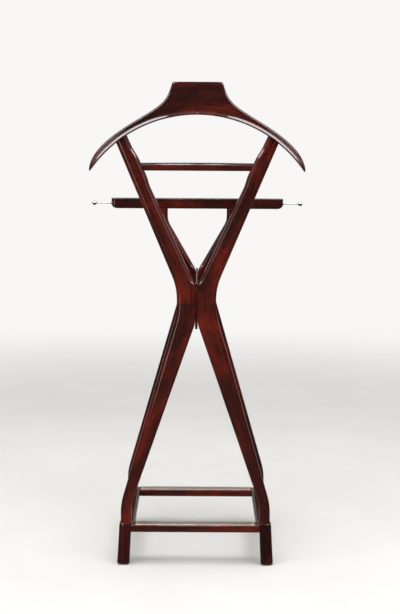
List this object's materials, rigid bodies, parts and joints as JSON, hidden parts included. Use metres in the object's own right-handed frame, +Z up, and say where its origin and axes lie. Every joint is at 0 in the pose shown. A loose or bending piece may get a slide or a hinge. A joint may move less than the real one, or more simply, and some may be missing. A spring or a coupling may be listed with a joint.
{
  "type": "valet stand",
  "caption": "Free-standing wooden valet stand: a shaped coat hanger on crossed frames, with a trouser bar, sliding metal tie rods and brass-topped shoe rails.",
  "frame": {"origin": "on the floor, under the middle of the stand's box", "axes": "+Z up, +X to the viewer's right, -Y is the front, where the hanger is"},
  "size_m": [0.513, 0.333, 1.092],
  "materials": {
    "mahogany": "dark red-brown mahogany stain under a high-gloss lacquer",
    "dowel_wood": "plain beech",
    "brass": "polished brass, slightly dulled",
    "steel": "satin nickel-plated steel",
    "glide": "matt off-white nylon"
  },
  "bodies": {
    "frame": {"hanger_left": "mahogany", "hanger_right": "mahogany", "seam_dowels": "dowel_wood", "hanger_dowels": "dowel_wood", "front_arm_left": "mahogany", "front_arm_right": "mahogany", "crossbar": "mahogany", "crossbar_dowels": "dowel_wood", "front_leg_left": "mahogany", "front_leg_right": "mahogany", "rear_arm_left": "mahogany", "rear_arm_right": "mahogany", "rear_leg_left": "mahogany", "rear_leg_right": "mahogany", "waist_board": "mahogany", "board_dowels": "dowel_wood", "waist_dowels": "dowel_wood", "trouser_bar": "mahogany", "bar_dowels": "dowel_wood", "left_bush": "steel", "right_bush": "steel", "front_left_foot": "mahogany", "front_right_foot": "mahogany", "rear_left_foot": "mahogany", "rear_right_foot": "mahogany", "foot_dowels": "dowel_wood", "left_side_rail": "mahogany", "right_side_rail": "mahogany", "side_rail_dowels": "dowel_wood", "front_shoe_rail": "mahogany", "rear_shoe_rail": "mahogany", "shoe_rail_dowels": "dowel_wood", "front_shoe_strip": "brass", "rear_shoe_strip": "brass", "strip_screws": "brass", "glides": "glide"},
    "left_rod": {"left_tie_rod": "steel", "left_rod_ball": "steel", "left_rod_stop": "steel"},
    "right_rod": {"right_tie_rod": "steel", "right_rod_ball": "steel", "right_rod_stop": "steel"}
  },
  "joints": [
    {"name": "left_rod_slide", "type": "slide", "parent": "frame", "child": "left_rod", "axis": [-1, 0, 0], "range_m": [-0.035, 0.024]},
    {"name": "right_rod_slide", "type": "slide", "parent": "frame", "child": "right_rod", "axis": [1, 0, 0], "range_m": [-0.035, 0.024]}
  ]
}
